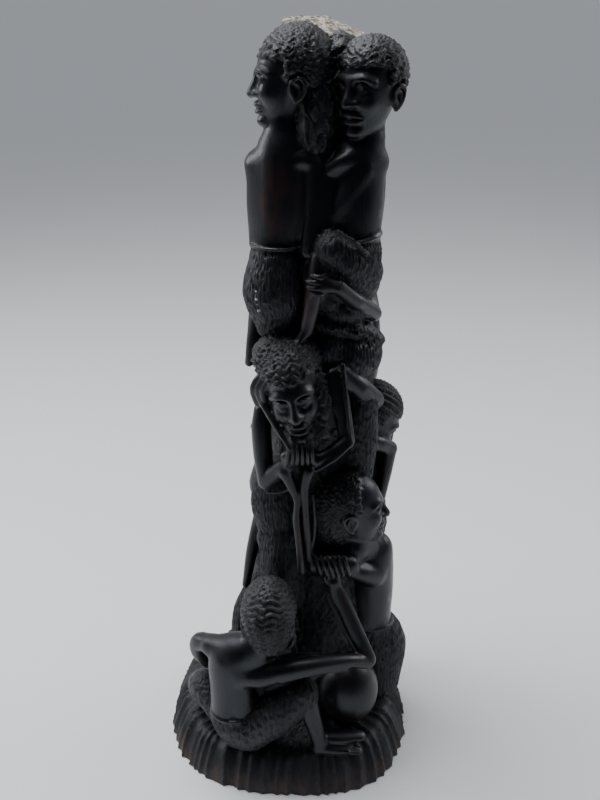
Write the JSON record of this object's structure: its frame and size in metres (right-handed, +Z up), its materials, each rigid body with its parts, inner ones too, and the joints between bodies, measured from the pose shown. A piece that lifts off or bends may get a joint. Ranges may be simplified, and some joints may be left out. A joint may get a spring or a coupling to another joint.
{
  "type": "carved wooden figure group",
  "caption": "Column of interlaced standing and seated figures carved all round from one log of dark hardwood, on a fluted round base left in one piece with it",
  "frame": {"origin": "on the underside, under the middle of the base's bounding box", "axes": "+Z up along the column, +X to the viewer's right, -Y towards the viewer who sees the side that the picture shows"},
  "size_m": [0.197, 0.201, 0.551],
  "materials": {
    "dark_hardwood": "near-black dense hardwood, skin surfaces polished with wax, cloth and hair left from the gouge, reddish-brown heartwood patches, a pale weathered saw cut at the top and worn brown rim edges"
  },
  "bodies": {
    "root": {"carved_figure_group": "dark_hardwood"}
  },
  "joints": []
}
